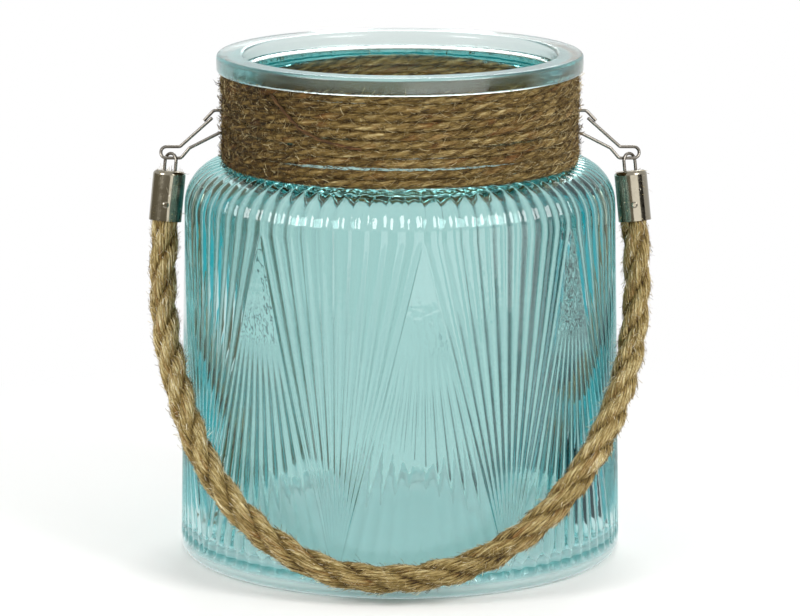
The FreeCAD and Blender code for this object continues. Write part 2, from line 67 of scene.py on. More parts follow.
def add(tree, kind, inputs=None, **settings):
    made = tree.nodes.new(kind)
    for name, value in settings.items():
        setattr(made, name, value)
    for key, value in (inputs or {}).items():
        if isinstance(value, bpy.types.NodeSocket):
            tree.links.new(value, made.inputs[key])
        else:
            made.inputs[key].default_value = value
    return made


def new_material(name):
    made = bpy.data.materials.new(name)
    made.use_nodes = True
    made.node_tree.nodes.clear()
    return made, made.node_tree


def show(item):
    scene.collection.objects.link(item)
    return item


# %% [markdown]
# ## Camera
# The photograph looks down on the jar from a little above, with a long lens: the rim's ellipse and
# the drop of the rope give the height and the distance. A long lens from far away keeps the jar's
# sides nearly upright.

# %% Camera
CAMERA_PLACE = (0.0, -1.442, 0.3726)
CAMERA_AIM_HEIGHT = 0.0825
FOCAL_PIXELS = 4340
IMAGE_WIDTH = 800

camera = show(bpy.data.objects.new("camera", bpy.data.cameras.new("camera")))
camera.location = CAMERA_PLACE
drop = math.atan2(CAMERA_PLACE[2] - CAMERA_AIM_HEIGHT, -CAMERA_PLACE[1])
camera.rotation_euler = (math.pi / 2 - drop, 0.0, 0.0)
camera.data.sensor_width = 36.0
camera.data.lens = FOCAL_PIXELS * camera.data.sensor_width / IMAGE_WIDTH
camera.data.clip_end = 50.0
scene.camera = camera
print(f"lens {camera.data.lens:.0f} mm, looking down {math.degrees(drop):.1f} degrees")

# %% [markdown]
# ## Floor and background
# Glass is photographed against white, so the floor is white paper that takes the soft shadow near
# the jar and turns into plain white further out. Rays that reach it through the glass or off the
# metal see white paper as well.

# %% Floor
FLOOR_HALF = 6.0
SHADOW_NEAR = 0.10
SHADOW_FAR = 0.30

floor_paper, tree = new_material("White_paper_floor")
place = add(tree, "ShaderNodeTexCoord")
distance = add(tree, "ShaderNodeVectorMath", {0: place.outputs["Object"]}, operation="LENGTH")
fade = add(tree, "ShaderNodeMapRange", {"Value": distance.outputs["Value"], "From Min": SHADOW_NEAR,
                                        "From Max": SHADOW_FAR}, interpolation_type="SMOOTHSTEP")
ray = add(tree, "ShaderNodeLightPath")
seen = add(tree, "ShaderNodeMath", {0: ray.outputs["Is Glossy Ray"],
                                    1: ray.outputs["Is Transmission Ray"]}, operation="MAXIMUM")
far_seen = add(tree, "ShaderNodeMath", {0: fade.outputs["Result"],
                                        1: ray.outputs["Is Camera Ray"]}, operation="MULTIPLY")
white_share = add(tree, "ShaderNodeMath", {0: seen.outputs[0], 1: far_seen.outputs[0]},
                  operation="MAXIMUM")
paper = add(tree, "ShaderNodeBsdfDiffuse", {"Color": colour("#f6f6f4")})
glow = add(tree, "ShaderNodeEmission", {"Color": colour("#ffffff"), "Strength": 1.0})
mixed = add(tree, "ShaderNodeMixShader", {0: white_share.outputs[0], 1: paper.outputs[0],
                                          2: glow.outputs[0]})
add(tree, "ShaderNodeOutputMaterial", {"Surface": mixed.outputs[0]})

corners = [(-FLOOR_HALF, -FLOOR_HALF, 0), (FLOOR_HALF, -FLOOR_HALF, 0),
           (FLOOR_HALF, FLOOR_HALF, 0), (-FLOOR_HALF, FLOOR_HALF, 0)]
floor_mesh = bpy.data.meshes.new("floor")
floor_mesh.from_pydata(corners, [], [(0, 1, 2, 3)])
floor_mesh.materials.append(floor_paper)
floor = show(bpy.data.objects.new("floor", floor_mesh))
print("floor:", 2 * FLOOR_HALF, "m wide")

# %% [markdown]
# ## Light
# Soft boxes round the jar light rope and metal. Glass has no colour of its own to light: it shows
# what stands round it, so photographers set dark cards beside it and the ribs draw dark lines. Bright
# metal works the same way: it wants one white card for its highlight and grey or black ones beside
# it. The cards here are hidden from the camera and from the light: glass sees one kind and metal the
# other.

# %% Soft boxes
SOFT_BOXES = {
    "soft_box_right": ((0.75, -0.70, 0.75), 0.55, 9.0),
    "soft_box_left": ((-0.80, -0.60, 0.60), 0.45, 6.5),
    "soft_box_back": ((0.10, 0.95, 0.90), 0.60, 7.0),
}
LIGHT_AIM = (0.0, 0.0, 0.08)

for name, (spot, side, power) in SOFT_BOXES.items():
    lamp = bpy.data.lights.new(name, "AREA")
    lamp.shape = "SQUARE"
    lamp.size = side
    lamp.energy = power
    holder = show(bpy.data.objects.new(name, lamp))
    holder.location = spot
    away = [spot[axis] - LIGHT_AIM[axis] for axis in range(3)]
    turn = math.atan2(away[1], away[0]) + math.pi / 2
    holder.rotation_euler = (math.atan2(math.hypot(away[0], away[1]), away[2]), 0.0, turn)
print("soft boxes:", len(SOFT_BOXES))

# %% Cards
# A card's outline in metres: distance from the jar's middle and height. The glass's cards lie on the
# floor and are folded up behind it. The metal's cards stand clear of the floor, so that the jar's
# wall doesn't mirror them.
FOLDED = [(0.11, 0.003), (0.30, 0.003), (0.30, 0.55)]
UPRIGHT = [(0.45, 0.035), (0.45, 0.20)]
# A card: its outline, the angle of its middle and the angle it spans, the kind of ray that doesn't
# see it, its shade and how bright it is.
CARDS = {
    "dark_card_right": (FOLDED, -4, 32, "visible_glossy", "#072c32", 1.0),
    "teal_card_right": (FOLDED, 25, 22, "visible_glossy", "#1cb2be", 1.0),
    "dark_card_back": (FOLDED, 49, 26, "visible_glossy", "#06292f", 1.0),
    "olive_card_back": (FOLDED, 134, 18, "visible_glossy", "#56512f", 1.0),
    "teal_card_left": (FOLDED, 154, 20, "visible_glossy", "#28bcc8", 1.0),
    "olive_card_left": (FOLDED, 184, 24, "visible_glossy", "#66634a", 1.0),
    "grey_card": (UPRIGHT, 211, 124, "visible_transmission", "#a09a8a", 1.0),
    "white_card": (UPRIGHT, 298, 50, "visible_transmission", "#ffffff", 2.6),
    "black_card": (UPRIGHT, 338, 30, "visible_transmission", "#14130f", 1.0),
}
CARD_STEPS = 6

for name, (outline, middle, span, blind, shade, strength) in CARDS.items():
    card_paint, tree = new_material(name)
    flat = add(tree, "ShaderNodeEmission", {"Color": colour(shade), "Strength": strength})
    add(tree, "ShaderNodeOutputMaterial", {"Surface": flat.outputs[0]})
    points, faces = [], []
    for step in range(CARD_STEPS + 1):
        angle = math.radians(middle + (step / CARD_STEPS - 0.5) * span)
        start = len(points)
        points += [(radius * math.cos(angle), radius * math.sin(angle), z) for radius, z in outline]
        if step:
            before = start - len(outline)
            faces += [(before + i, start + i, start + i + 1, before + i + 1)
                      for i in range(len(outline) - 1)]
    card_mesh = bpy.data.meshes.new(name)
    card_mesh.from_pydata(points, [], faces)
    card_mesh.materials.append(card_paint)
    card = show(bpy.data.objects.new(name, card_mesh))
    for sight in ("visible_camera", "visible_diffuse", "visible_shadow", blind):
        setattr(card, sight, False)
print("cards:", len(CARDS))

# %% Sky and light bounces
SKY_STRENGTH = 0.55

sky = bpy.data.worlds.new("sky")
scene.world = sky
sky.use_nodes = True
tree = sky.node_tree
tree.nodes.clear()
ray = add(tree, "ShaderNodeLightPath")
seen = add(tree, "ShaderNodeMath", {0: ray.outputs["Is Glossy Ray"],
                                    1: ray.outputs["Is Transmission Ray"]}, operation="MAXIMUM")
shown = add(tree, "ShaderNodeMath", {0: seen.outputs[0], 1: ray.outputs["Is Camera Ray"]},
            operation="MAXIMUM")
soft = add(tree, "ShaderNodeBackground", {"Color": colour("#ffffff"), "Strength": SKY_STRENGTH})
white = add(tree, "ShaderNodeBackground", {"Color": colour("#ffffff"), "Strength": 1.0})
both = add(tree, "ShaderNodeMixShader", {0: shown.outputs[0], 1: soft.outputs[0],
                                         2: white.outputs[0]})
add(tree, "ShaderNodeOutputWorld", {"Surface": both.outputs[0]})
# Light turns many corners inside ribbed glass, and a path that is cut short would come out black.
scene.cycles.max_bounces = 40
scene.cycles.glossy_bounces = 24
scene.cycles.transmission_bounces = 24
print("light bounces:", scene.cycles.max_bounces)

# %% [markdown]
# ## Jute
# Rope and twine are jute, a coarse bast fibre: matt and golden brown. The crests are painted paler and the
# valleys between the strands darker, as painted light and shade. The colour follows each yarn's own
# length, so the material reads the attributes that the rope's nodes leave behind: along, in metres, yarn,
# a number for each yarn, and section, the place round the yarn.

# %% Jute
# How close the fibres lie round a yarn, how strongly they and the painted light and shade of crests and
# valleys count, and the sums of both that give the darkest and the palest shade.
FIBRE_CROWD = 1.6
FIBRE_WEIGHT = 2.4
RELIEF_SHADE = 0.25
TONE_DARK = 1.24
TONE_PALE = 2.41
BARK_LENGTH = 18 * MM
# The twine darkens towards its left side, ending between these places, and the rope's bottom is darkened
# with painted shade between these heights.
LEFT_DARK_FULL, LEFT_DARK_END = -55 * MM, -15 * MM
BOTTOM_SHADE_LOW, BOTTOM_SHADE_HIGH = 15 * MM, 65 * MM


def jute(name, shades, bark_shade, fibre_mm, patch_mm, valley_mm, crest_mm, left_darkening=0.0, bottom_shade_share=0.0):
    made, tree = new_material(name)
    along = add(tree, "ShaderNodeAttribute", attribute_name="along")
    yarn = add(tree, "ShaderNodeAttribute", attribute_name="yarn")
    section = add(tree, "ShaderNodeAttribute", attribute_name="section")
    # Fibres are long and thin: about a dozen of them lie round a yarn, each some millimetres long.
    lengthwise = add(tree, "ShaderNodeCombineXYZ", {"Z": along.outputs["Fac"]})
    drawn_out = add(tree, "ShaderNodeVectorMath", {0: lengthwise.outputs[0],
                                                   "Scale": 1 / (fibre_mm * MM)}, operation="SCALE")
    where = add(tree, "ShaderNodeVectorMath", {0: section.outputs["Vector"], 1: [FIBRE_CROWD] * 3,
                                               2: drawn_out.outputs[0]}, operation="MULTIPLY_ADD")
    fibre = add(tree, "ShaderNodeTexNoise", {"Vector": where.outputs[0], "W": yarn.outputs["Fac"],
                                             "Scale": 1.0, "Detail": 4.0, "Roughness": 0.65},
                noise_dimensions="4D")
    patch = add(tree, "ShaderNodeTexNoise", {"Vector": lengthwise.outputs[0],
                                             "W": yarn.outputs["Fac"],
                                             "Scale": 1 / (patch_mm * MM), "Detail": 2.0},
                noise_dimensions="4D")
    blend = add(tree, "ShaderNodeMath", {0: fibre.outputs[0], 1: FIBRE_WEIGHT, 2: patch.outputs[0]},
                operation="MULTIPLY_ADD")
    # Painted shade darkens the valleys between strands, and painted light makes the crests pale.
    depth = add(tree, "ShaderNodeAttribute", attribute_name="depth")
    relief_shade = add(tree, "ShaderNodeMapRange", {"Value": depth.outputs["Fac"], "From Min": valley_mm * MM,
                                            "From Max": crest_mm * MM, "To Min": -RELIEF_SHADE, "To Max": RELIEF_SHADE})
    shaded_tone = add(tree, "ShaderNodeMath", {0: blend.outputs[0], 1: relief_shade.outputs["Result"]}, operation="ADD")
    # The twine is darker towards the left side, where the winding ends.
    place = add(tree, "ShaderNodeTexCoord")
    split = add(tree, "ShaderNodeSeparateXYZ", {"Vector": place.outputs["Object"]})
    leftward_dark = add(tree, "ShaderNodeMapRange", {"Value": split.outputs["X"], "From Min": LEFT_DARK_FULL,
                                            "From Max": LEFT_DARK_END, "To Min": -left_darkening, "To Max": 0.0})
    shaded_tone = add(tree, "ShaderNodeMath", {0: shaded_tone.outputs[0], 1: leftward_dark.outputs["Result"]}, operation="ADD")
    # Painted shade darkens the bottom of the loop, against the light that the floor throws up onto it.
    shade_at_bottom = add(tree, "ShaderNodeMapRange", {"Value": split.outputs["Z"], "From Min": BOTTOM_SHADE_LOW,
                                             "From Max": BOTTOM_SHADE_HIGH, "To Min": -bottom_shade_share, "To Max": 0.0})
    shaded_tone = add(tree, "ShaderNodeMath", {0: shaded_tone.outputs[0], 1: shade_at_bottom.outputs["Result"]}, operation="ADD")
    tone = add(tree, "ShaderNodeMapRange", {"Value": shaded_tone.outputs[0], "From Min": TONE_DARK,
                                            "From Max": TONE_PALE})
    ramp = add(tree, "ShaderNodeValToRGB", {"Fac": tone.outputs["Result"]})
    stops = ramp.color_ramp.elements
    stops[0].color = colour(shades[0])
    stops[1].color = colour(shades[-1])
    for number, shade in enumerate(shades[1:-1], start=1):
        stops.new(number / (len(shades) - 1)).color = colour(shade)
    # Here and there a stretch of yarn is spun from redder bark.
    bark = add(tree, "ShaderNodeTexNoise", {"Vector": lengthwise.outputs[0], "W": yarn.outputs["Fac"],
                                            "Scale": 1 / BARK_LENGTH, "Detail": 3.0},
               noise_dimensions="4D")
    red = add(tree, "ShaderNodeMapRange", {"Value": bark.outputs[0], "From Min": 0.54, "From Max": 0.70,
                                           "To Max": 0.55})
    hue = add(tree, "ShaderNodeMix", {"Factor": red.outputs["Result"], "A": ramp.outputs["Color"],
                                      "B": colour(bark_shade)}, data_type="RGBA")
    bump = add(tree, "ShaderNodeBump", {"Height": fibre.outputs[0], "Strength": 0.6,
                                        "Distance": 0.25 * MM})
    cloth = add(tree, "ShaderNodeBsdfPrincipled",
                {"Base Color": hue.outputs["Result"], "Normal": bump.outputs[0], "Roughness": 0.78,
                 "Specular IOR Level": 0.25, "Sheen Weight": 0.12, "Sheen Roughness": 0.4,
                 "Sheen Tint": colour("#d8bd8c")})
    add(tree, "ShaderNodeOutputMaterial", {"Surface": cloth.outputs[0]})
    return made


# Laid jute rope: hard-twisted yarns, so the fibres show as fine slanting lines.
rope_jute = jute("Laid_jute_rope", ["#2c1d08", "#705c2d", "#a8935f", "#d8ca9b", "#f8f1d6"], "#84582c",
                 3.5, 30, 3.0, 4.9, bottom_shade_share=0.13)
# Jute twine: three soft plies, a little greener and browner from handling.
twine_jute = jute("Jute_twine", ["#1e1405", "#463413", "#725c2e", "#9a8453", "#d0c08f"], "#74401c",
                  4.5, 45, 1.0, 1.75, left_darkening=0.38)
# The twine's tail is spun from a redder lot.
tail_jute = jute("Jute_twine_tail", ["#24170a", "#4f361b", "#735430", "#967748", "#bda278"], "#804824",
                 4.5, 45, 0.5, 1.0)
print("jute finishes:", rope_jute.name, twine_jute.name, tail_jute.name)

# %% [markdown]
# ## Laid rope by Geometry Nodes
# A rope is strands laid round each other, and each strand is yarns twisted the other way. It could
# be drawn as one tube with a bump, but the outline would stay smooth. This tree lays real yarns: it
# takes a line, copies it once for each strand, winds the copies round the line, then winds yarns
# round each strand in the same manner. Small noise makes the lay a bit uneven, as it is in jute.

# %% Helpers for trees


def new_tree(name, sockets):
    tree = bpy.data.node_groups.new(name, "GeometryNodeTree")
    face = tree.interface
    face.new_socket("Geometry", in_out="INPUT", socket_type="NodeSocketGeometry")
    for label, kind in sockets:
        face.new_socket(label, in_out="INPUT", socket_type="NodeSocket" + kind)
    face.new_socket("Geometry", in_out="OUTPUT", socket_type="NodeSocketGeometry")
    return tree, tree.nodes.new("NodeGroupInput").outputs


def store(tree, geometry, name, value, kind="FLOAT", domain="POINT"):
    return add(tree, "GeometryNodeStoreNamedAttribute",
               {"Geometry": geometry, "Name": name, "Value": value},
               data_type=kind, domain=domain).outputs[0]


# %% Winding copies of a line round it
DRIFTS_PER_METRE = 90.0


def wind(tree, line, count, offset, lay, wobble, label):
    """Copies a curve count times and winds the copies round it, one turn for each lay length."""
    normal = add(tree, "GeometryNodeInputNormal").outputs[0]
    tangent = add(tree, "GeometryNodeInputTangent").outputs[0]
    side = add(tree, "ShaderNodeVectorMath", {0: tangent, 1: normal}, operation="CROSS_PRODUCT")
    length = add(tree, "GeometryNodeSplineParameter").outputs["Length"]
    line = store(tree, line, "across", normal, "FLOAT_VECTOR")
    line = store(tree, line, "upward", side.outputs[0], "FLOAT_VECTOR")
    line = store(tree, line, "along", length)
    copies = add(tree, "GeometryNodeDuplicateElements", {"Geometry": line, "Amount": count},
                 domain="SPLINE")
    turns = add(tree, "ShaderNodeMath", {0: length, 1: lay}, operation="DIVIDE")
    part = add(tree, "ShaderNodeMath", {0: copies.outputs[1], 1: count}, operation="DIVIDE")
    whole = add(tree, "ShaderNodeMath", {0: turns.outputs[0], 1: part.outputs[0]}, operation="ADD")
    angle = add(tree, "ShaderNodeMath", {0: whole.outputs[0], 1: math.tau}, operation="MULTIPLY")
    slow = add(tree, "ShaderNodeMath", {0: length, 1: DRIFTS_PER_METRE}, operation="MULTIPLY")
    drift = add(tree, "ShaderNodeTexNoise", {"W": slow.outputs[0], "Scale": 1.0, "Detail": 1.0,
                                             "Vector": copies.outputs[1]}, noise_dimensions="4D")
    swing = add(tree, "ShaderNodeMapRange", {"Value": drift.outputs[0], "From Min": 0.3,
                                             "From Max": 0.7, "To Min": 1.0, "To Max": wobble})
    reach = add(tree, "ShaderNodeMath", {0: offset, 1: swing.outputs[0]}, operation="MULTIPLY")
    moves = []
    for name, ratio in (("across", "COSINE"), ("upward", "SINE")):
        way = add(tree, "GeometryNodeInputNamedAttribute", {"Name": name}, data_type="FLOAT_VECTOR")
        wave = add(tree, "ShaderNodeMath", {0: angle.outputs[0]}, operation=ratio)
        amount = add(tree, "ShaderNodeMath", {0: wave.outputs[0], 1: reach.outputs[0]},
                     operation="MULTIPLY")
        moves.append(add(tree, "ShaderNodeVectorMath", {0: way.outputs[0],
                                                        "Scale": amount.outputs[0]},
                         operation="SCALE").outputs[0])
    move = add(tree, "ShaderNodeVectorMath", {0: moves[0], 1: moves[1]}, operation="ADD")
    marked = store(tree, copies.outputs[0], label, copies.outputs[1])
    return add(tree, "GeometryNodeSetPosition", {"Geometry": marked,
                                                 "Offset": move.outputs[0]}).outputs[0]


# %% The tree that lays a cord
# The least share of its offset that a strand or a ply keeps where the lay is uneven.
STRAND_WOBBLE = 0.90
PLY_WOBBLE = 0.84
SLUB_LENGTH = 10 * MM
# Sets the numbers of one strand's yarns apart from the next strand's.
YARN_STRIDE = 17.3

cord_tree, inlet = new_tree("Laid cord", [
    ("Step", "Float"), ("Strands", "Int"), ("Strand offset", "Float"), ("Strand lay", "Float"),
    ("Yarns", "Int"), ("Yarn offset", "Float"), ("Yarn lay", "Float"), ("Yarn radius", "Float"),
    ("Sides", "Int"), ("Material", "Material")])
line = add(cord_tree, "GeometryNodeMeshToCurve", {"Mesh": inlet["Geometry"]}).outputs[0]
line = add(cord_tree, "GeometryNodeResampleCurve", {"Curve": line, "Length": inlet["Step"]},
           mode="LENGTH").outputs[0]
line = wind(cord_tree, line, inlet["Strands"], inlet["Strand offset"], inlet["Strand lay"],
            STRAND_WOBBLE, "strand")
line = wind(cord_tree, line, inlet["Yarns"], inlet["Yarn offset"], inlet["Yarn lay"],
            PLY_WOBBLE, "ply")
ply = add(cord_tree, "GeometryNodeInputNamedAttribute", {"Name": "ply"}, data_type="FLOAT")
strand = add(cord_tree, "GeometryNodeInputNamedAttribute", {"Name": "strand"}, data_type="FLOAT")
number = add(cord_tree, "ShaderNodeMath", {0: strand.outputs[0], 1: YARN_STRIDE, 2: ply.outputs[0]},
             operation="MULTIPLY_ADD")
line = store(cord_tree, line, "yarn", number.outputs[0])
# Spun jute is thick and thin by turns.
length = add(cord_tree, "GeometryNodeSplineParameter").outputs["Length"]
beat = add(cord_tree, "ShaderNodeMath", {0: length, 1: 1 / SLUB_LENGTH}, operation="MULTIPLY")
slub = add(cord_tree, "ShaderNodeTexNoise", {"Vector": number.outputs[0], "W": beat.outputs[0],
                                             "Scale": 1.0, "Detail": 2.0}, noise_dimensions="4D")
thick = add(cord_tree, "ShaderNodeMapRange", {"Value": slub.outputs[0], "From Min": 0.3,
                                              "From Max": 0.7, "To Min": 0.7, "To Max": 1.3})
line = add(cord_tree, "GeometryNodeSetCurveRadius", {"Curve": line,
                                                     "Radius": thick.outputs[0]}).outputs[0]
tangent = add(cord_tree, "GeometryNodeInputTangent").outputs[0]
line = store(cord_tree, line, "run", tangent, "FLOAT_VECTOR")
ring = add(cord_tree, "GeometryNodeCurvePrimitiveCircle", {"Resolution": inlet["Sides"],
                                                           "Radius": inlet["Yarn radius"]}).outputs[0]
spot = add(cord_tree, "GeometryNodeInputPosition").outputs[0]
unit = add(cord_tree, "ShaderNodeVectorMath", {0: spot}, operation="NORMALIZE")
ring = store(cord_tree, ring, "section", unit.outputs[0], "FLOAT_VECTOR")
tubes = add(cord_tree, "GeometryNodeCurveToMesh", {"Curve": line, "Profile Curve": ring,
                                                   "Fill Caps": True}).outputs[0]
tubes = add(cord_tree, "GeometryNodeSetShadeSmooth", {"Geometry": tubes}).outputs[0]
# How far a point stands from the cord's middle tells the material where the valleys are.
middle = add(cord_tree, "GeometryNodeProximity", {0: inlet["Geometry"]}, target_element="EDGES")
tubes = store(cord_tree, tubes, "depth", middle.outputs["Distance"])
solid = add(cord_tree, "GeometryNodeRealizeInstances", {"Geometry": tubes}).outputs[0]
done = add(cord_tree, "GeometryNodeSetMaterial", {"Geometry": solid, "Material": inlet["Material"]})
add(cord_tree, "NodeGroupOutput", {0: done.outputs[0]})
print("nodes that lay a cord:", len(cord_tree.nodes))

# %% From a tree to a plain mesh


def grow(name, source, tree, sizes, spare=()):
    """Runs a tree on an object and keeps the result as a plain mesh under a new name."""
    modifier = source.modifiers.new(tree.name, "NODES")
    modifier.node_group = tree
    for item in tree.interface.items_tree:
        if item.in_out == "INPUT" and item.name in sizes:
            modifier[item.identifier] = sizes[item.name]
    view = bpy.context.evaluated_depsgraph_get()
    mesh = bpy.data.meshes.new_from_object(source.evaluated_get(view))
    source.modifiers.remove(modifier)
    for attribute in spare:
        mesh.attributes.remove(mesh.attributes[attribute])
    mesh.name = name
    print(name, "faces:", len(mesh.polygons))
    return show(bpy.data.objects.new(name, mesh))


def lay_cord(name, line, sizes, body):
    """Lays a jute cord along a line of edges and gives it to a body."""
    source = show(bpy.data.objects.new(name + "_source", line))
    cord = grow(name, source, cord_tree, sizes, spare=("across", "upward", "strand", "ply"))
    bpy.data.objects.remove(source)
    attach(cord, body)
    return cord


# %% [markdown]
# ## The rope handle
# The rope leaves the right ferrule, hangs in front of the jar and comes back into the left one. Its
# route is the CAD tube's, as the control points of a smooth NURBS line, and the strands follow
# points read from that line. A rope of 9.8 mm is three strands, each turning once in about 40 mm.

# %% Rope route
ROPE_ROUTE = [
    (77.58, -0.7, 129.02), (79.88, -4.02, 105.41), (79.5, -14.5, 80), (73.3, -35.5, 60),
    (64.5, -50, 44), (52.5, -62.5, 30), (37, -72.7, 18.6), (18, -79.4, 11), (-3, -81.4, 8.6),
    (-23.5, -78, 10.4), (-40, -71, 17.4), (-54, -61, 27.4), (-65.5, -48.5, 41.5),
    (-73.3, -35.5, 60), (-79.5, -14.5, 80), (-79.88, -4.02, 105.41), (-77.58, -0.7, 129.02)]

route = bpy.data.curves.new("rope_route", "CURVE")
route.dimensions = "3D"
route.resolution_u = 12
spline = route.splines.new("NURBS")
spline.points.add(len(ROPE_ROUTE) - 1)
for point, (x, y, z) in zip(spline.points, ROPE_ROUTE):
    point.co = (x * MM, y * MM, z * MM, 1.0)
spline.order_u = 3
spline.use_endpoint_u = True
route_object = show(bpy.data.objects.new("rope_route", route))
view = bpy.context.evaluated_depsgraph_get()
rope_line = bpy.data.meshes.new_from_object(route_object.evaluated_get(view))
bpy.data.objects.remove(route_object)

# %% Rope strands
rope = lay_cord("rope_handle_strands", rope_line, {
    "Step": 1.5 * MM, "Strands": 3, "Strand offset": 1.95 * MM, "Strand lay": 40 * MM,
    "Yarns": 14, "Yarn offset": 2.35 * MM, "Yarn lay": -45 * MM, "Yarn radius": 0.64 * MM,
    "Sides": 6, "Material": rope_jute}, "handle")
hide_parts("rope_handle")

# %% [markdown]
# ## Twine round the neck
# Ten turns of three-ply twine cover the neck and hide both wires. At the sides the turns open up a
# little, to let the wires out, and in front they lie evenly, with one narrow gap. The line is worked
# out from the heights of the turns at the sides and in front, and the same tree lays plies along it.

# %% Twine line
SIDE_HEIGHTS = [162.625, 160.0, 157.375, 154.75, 152.125, 148.275, 144.425, 140.575, 137.725, 134.875]
TWINE_RADIUS = 58.30
POINTS_PER_QUARTER = 24
GAP_TURN = 8
FRONT_GAP = 0.95
# A hand-wound turn wanders up and down in two waves: how far, and how often in a radian.
WANDER = ((0.14, 3.3), (0.10, 7.7))

turns = len(SIDE_HEIGHTS)
front_step = (SIDE_HEIGHTS[0] - SIDE_HEIGHTS[-1] - FRONT_GAP) / (turns - 1)
stations = []
for turn, side in enumerate(SIDE_HEIGHTS):
    front = SIDE_HEIGHTS[0] - turn * front_step - (FRONT_GAP if turn >= GAP_TURN else 0.0)
    following = SIDE_HEIGHTS[min(turn + 1, turns - 1)]
    stations += [side, front, side, (side + following) / 2]
twine_points = []
for number, (here, beyond) in enumerate(zip(stations, stations[1:])):
    for step in range(POINTS_PER_QUARTER):
        share = step / POINTS_PER_QUARTER
        angle = math.pi + (number + share) * math.pi / 2
        ease = (1 - math.cos(math.pi * share)) / 2
        wander = sum(reach * math.sin(beat * angle) for reach, beat in WANDER)
        height = here + (beyond - here) * ease + wander
        twine_points.append((TWINE_RADIUS * math.cos(angle) * MM, TWINE_RADIUS * math.sin(angle) * MM,
                             height * MM))
twine_line = bpy.data.meshes.new("twine_line")
twine_line.from_pydata(twine_points, [(i, i + 1) for i in range(len(twine_points) - 1)], [])
twine_length = sum(math.dist(a, b) for a, b in zip(twine_points, twine_points[1:]))
print(f"twine length {twine_length:.2f} m in {turns} turns")

# %% Twine plies
twine = lay_cord("neck_twine_plies", twine_line, {
    "Step": 0.8 * MM, "Strands": 1, "Strand offset": 0.0, "Strand lay": 1.0,
    "Yarns": 3, "Yarn offset": 0.52 * MM, "Yarn lay": -22 * MM, "Yarn radius": 1.24 * MM,
    "Sides": 6, "Material": twine_jute}, "jar")
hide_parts("neck_twine")

# %% Twine tail
# The loose end crosses the turns from the top, at the left of the front: angles from straight ahead
# in degrees and heights.
TAIL_ROUTE = [(-44, 162), (-41, 159), (-36.5, 155), (-32, 151.5), (-26, 149), (-19, 147.4), (-12, 146.4)]
TAIL_RADIUS = 60.2

tail_points = [(TAIL_RADIUS * math.sin(math.radians(angle)) * MM,
                -TAIL_RADIUS * math.cos(math.radians(angle)) * MM, height * MM)
               for angle, height in TAIL_ROUTE]
tail_line = bpy.data.meshes.new("tail_line")
tail_line.from_pydata(tail_points, [(i, i + 1) for i in range(len(tail_points) - 1)], [])
lay_cord("neck_twine_tail", tail_line, {
    "Step": 0.7 * MM, "Strands": 1, "Strand offset": 0.0, "Strand lay": 1.0,
    "Yarns": 2, "Yarn offset": 0.25 * MM, "Yarn lay": -8 * MM, "Yarn radius": 0.40 * MM,
    "Sides": 6, "Material": tail_jute}, "jar")

# %% [markdown]
# ## Stray fibres
# Jute is hairy: fibre ends stand off the yarns everywhere and soften the outline. A second tree
# scatters hairs over the yarns: close fuzz that lies on them, and a few long wisps. A hair is a bent
# ribbon of only three faces, because there are many thousands of them.

# %% The tree that scatters hairs
# How far a hair is turned at random, in radians: about its own length, sideways and into the yarn.
HAIR_ROLL = 0.8
HAIR_TURN = 1.2
HAIR_DIP = 0.05

hair_tree, inlet = new_tree("Jute hairs", [
    ("Density", "Float"), ("Least depth", "Float"), ("Outwards", "Float"), ("Length", "Float"),
    ("Width", "Float"), ("Lift", "Float"), ("Seed", "Int"), ("Material", "Material")])
# Hairs grow only where they show: on the outside of the cord, and on twine away from the neck.
depth = add(hair_tree, "GeometryNodeInputNamedAttribute", {"Name": "depth"}, data_type="FLOAT")
outer = add(hair_tree, "ShaderNodeMath", {0: depth.outputs[0], 1: inlet["Least depth"]},
            operation="GREATER_THAN")
facing = add(hair_tree, "GeometryNodeInputNormal").outputs[0]
spot = add(hair_tree, "GeometryNodeInputPosition").outputs[0]
level = add(hair_tree, "ShaderNodeVectorMath", {0: spot, 1: (1.0, 1.0, 0.0)}, operation="MULTIPLY")
lean = add(hair_tree, "ShaderNodeVectorMath", {0: facing, 1: level.outputs[0]}, operation="DOT_PRODUCT")
away = add(hair_tree, "ShaderNodeMath", {0: lean.outputs["Value"], 1: inlet["Outwards"]},
           operation="GREATER_THAN")
shown = add(hair_tree, "ShaderNodeMath", {0: outer.outputs[0], 1: away.outputs[0]}, operation="MULTIPLY")
crowd = add(hair_tree, "ShaderNodeMath", {0: shown.outputs[0], 1: inlet["Density"]}, operation="MULTIPLY")
spots = add(hair_tree, "GeometryNodeDistributePointsOnFaces",
            {"Mesh": inlet["Geometry"], "Density": crowd.outputs[0], "Seed": inlet["Seed"]})
bend = add(hair_tree, "GeometryNodeCurveQuadraticBezier",
           {"Resolution": 3, "Start": (0, 0, 0.02), "Middle": (0.5, 0.0, 0.20), "End": (0.95, 0.2, 0.12)})
share = add(hair_tree, "GeometryNodeSplineParameter").outputs["Factor"]
taper = add(hair_tree, "ShaderNodeMapRange", {"Value": share, "To Min": 1.0, "To Max": 0.35})
blade = add(hair_tree, "GeometryNodeSetCurveRadius", {"Curve": bend.outputs[0],
                                                      "Radius": taper.outputs[0]})
thin = add(hair_tree, "ShaderNodeMath", {0: inlet["Width"], 1: inlet["Length"]}, operation="DIVIDE")
edge = add(hair_tree, "ShaderNodeCombineXYZ", {"Y": thin.outputs[0]})
flat = add(hair_tree, "GeometryNodeCurvePrimitiveLine", {"Start": (0, 0, 0), "End": edge.outputs[0]})
hair = add(hair_tree, "GeometryNodeCurveToMesh", {"Curve": blade.outputs[0],
                                                  "Profile Curve": flat.outputs[0]})
